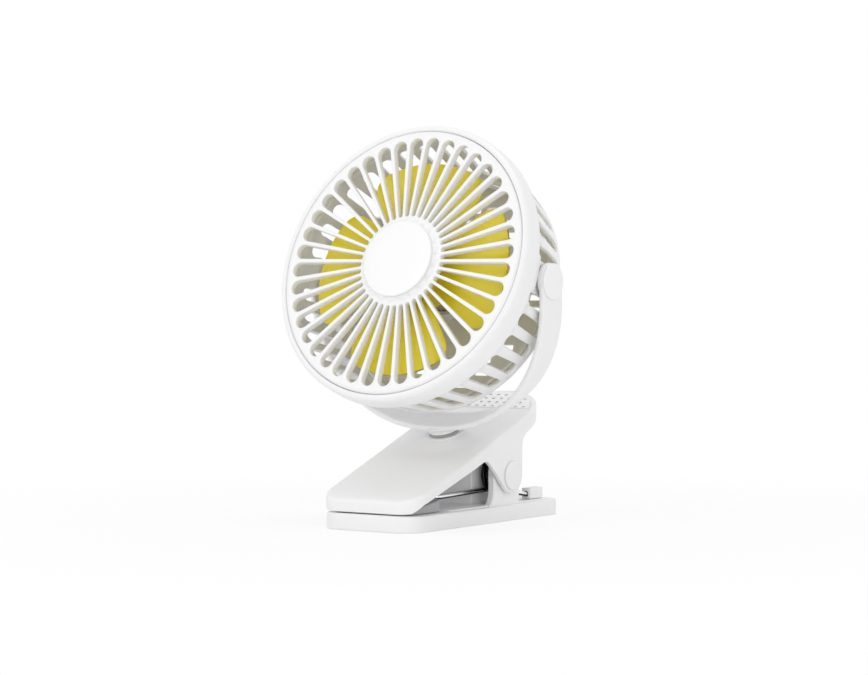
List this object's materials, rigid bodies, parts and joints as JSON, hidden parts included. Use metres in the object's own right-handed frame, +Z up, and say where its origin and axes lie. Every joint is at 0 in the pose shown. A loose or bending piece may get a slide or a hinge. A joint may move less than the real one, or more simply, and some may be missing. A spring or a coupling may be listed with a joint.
{
  "type": "clip fan",
  "caption": "Round battery fan head that tilts in a swivelling fork on a spring-loaded clip, with a radial front grille, slotted drum sides, an impeller and a scent lid.",
  "frame": {"origin": "on the underside of the clip base, straight below the axis that the head tilts about", "axes": "+Z up, the air leaves towards -Y, +X to the right of the fan as it faces the viewer"},
  "size_m": [0.1528, 0.146, 0.209],
  "materials": {
    "clip_plastic": "satin white moulded plastic",
    "head_plastic": "satin white moulded plastic",
    "inner_plastic": "light grey moulded plastic, slightly grained",
    "soft_rubber": "light grey soft rubber, matt",
    "washer_plastic": "plain natural plastic washer",
    "spring_steel": "bright nickel-plated wire",
    "screw_steel": "plain plated steel",
    "motor_steel": "plain plated steel sheet",
    "bushing_brass": "turned brass",
    "cell_film": "blue film around a flat cell",
    "felt": "white felt and foam",
    "board": "green lacquered board",
    "dark_plastic": "black plastic",
    "lens": "clear lens",
    "impeller_plastic": "glossy yellow moulded plastic"
  },
  "bodies": {
    "base": {"base_shell": "clip_plastic", "base_sole": "soft_rubber", "base_grip_pad": "soft_rubber", "spring_seat_right": "clip_plastic", "spring_seat_left": "clip_plastic", "torsion_spring": "spring_steel", "clip_axle": "spring_steel"},
    "jaw": {"upper_jaw": "clip_plastic", "jaw_grip_pad": "soft_rubber", "hinge_cap_right": "clip_plastic", "hinge_cap_left": "clip_plastic", "scent_lid": "head_plastic", "scent_pad": "felt", "swivel_washer": "washer_plastic"},
    "fork": {"fork": "head_plastic", "swivel_bolt": "screw_steel", "swivel_spring_washer": "screw_steel", "swivel_nut": "screw_steel", "friction_washer_right": "washer_plastic", "friction_washer_left": "washer_plastic", "pivot_cap_right": "head_plastic", "pivot_cap_left": "head_plastic"},
    "head": {"drum": "head_plastic", "front_grille": "head_plastic", "centre_cap": "head_plastic", "rear_cover": "inner_plastic", "motor_mount": "inner_plastic", "motor_can": "motor_steel", "motor_bushing": "bushing_brass", "battery": "cell_film", "battery_foam": "felt", "circuit_board": "board", "tact_switch": "dark_plastic", "charge_port": "motor_steel", "indicator_lens": "lens", "pivot_screw_right": "screw_steel", "pivot_screw_left": "screw_steel", "mount_screw_1": "screw_steel", "mount_screw_2": "screw_steel", "mount_screw_3": "screw_steel"},
    "rotor": {"impeller": "impeller_plastic", "motor_shaft": "screw_steel", "impeller_nut": "screw_steel"},
    "button": {"power_button": "head_plastic"}
  },
  "joints": [
    {"name": "clip_open", "type": "hinge", "parent": "base", "child": "jaw", "pos_m": [0, 0.03, 0.0242], "axis": [-1, 0, 0], "range_deg": [0, 28], "stiffness_Nm_per_rad": 1.2, "springref_deg": -45.84, "deforming": ["torsion_spring"]},
    {"name": "fork_swivel", "type": "hinge", "parent": "jaw", "child": "fork", "pos_m": [0, 0.00989, 0.05124], "axis": [0, -0.3535, 0.9354], "continuous": true},
    {"name": "head_tilt", "type": "hinge", "parent": "fork", "child": "head", "pos_m": [0, 0, 0.1274], "axis": [-1, 0, 0], "range_deg": [-24, 145]},
    {"name": "impeller_spin", "type": "hinge", "parent": "head", "child": "rotor", "pos_m": [0, 0, 0.1274], "axis": [0, -0.9397, 0.342], "continuous": true},
    {"name": "button_press", "type": "slide", "parent": "head", "child": "button", "axis": [0, -0.9397, 0.342], "range_m": [0, 0.0007], "stiffness_N_per_m": 1200, "springref_m": -0.0006}
  ]
}
